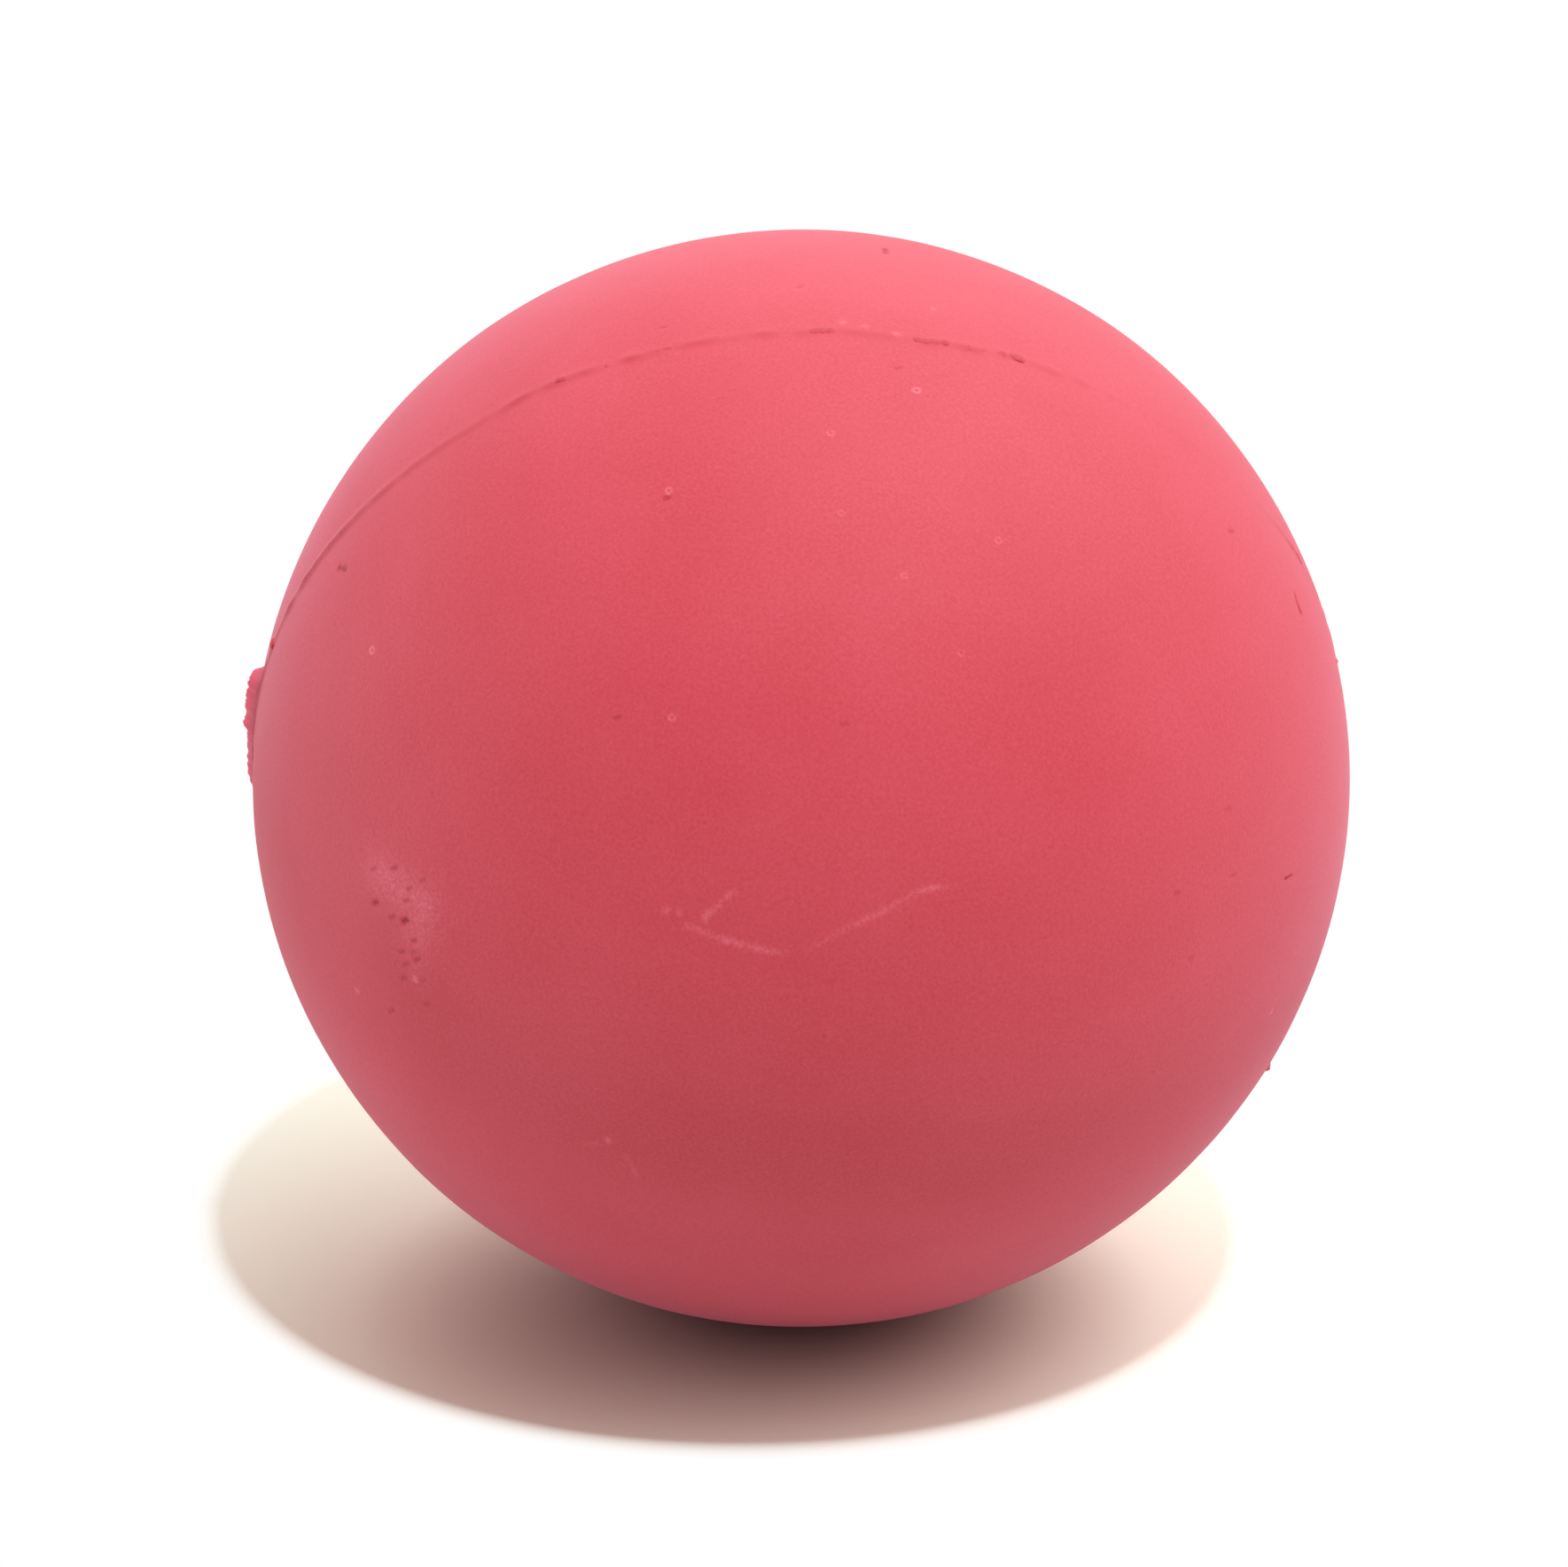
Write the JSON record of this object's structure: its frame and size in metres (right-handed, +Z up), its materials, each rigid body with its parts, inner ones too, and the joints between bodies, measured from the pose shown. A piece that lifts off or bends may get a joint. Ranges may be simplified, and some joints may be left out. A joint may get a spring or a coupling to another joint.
{
  "type": "dog ball",
  "caption": "Hollow moulded rubber fetch ball for dogs, its half-shells cemented rim to rim along a seam that still carries trimmed flash.",
  "frame": {"origin": "centre of the ball", "axes": "+Z up as the ball lies in the picture, -Y towards the viewer, +X to the viewer's right; the seam's plane is tipped so that the front half's pole points at the viewer and 28.5 degrees below level"},
  "size_m": [0.0651, 0.065, 0.065],
  "materials": {
    "shell_rubber": "matte",
    "cement": "matte",
    "flash_rubber": "matte"
  },
  "bodies": {
    "root": {"front_half_shell": "shell_rubber", "rear_half_shell": "shell_rubber", "seam_cement": "cement", "flash_strips": "flash_rubber", "flash_tab": "flash_rubber"}
  },
  "joints": []
}
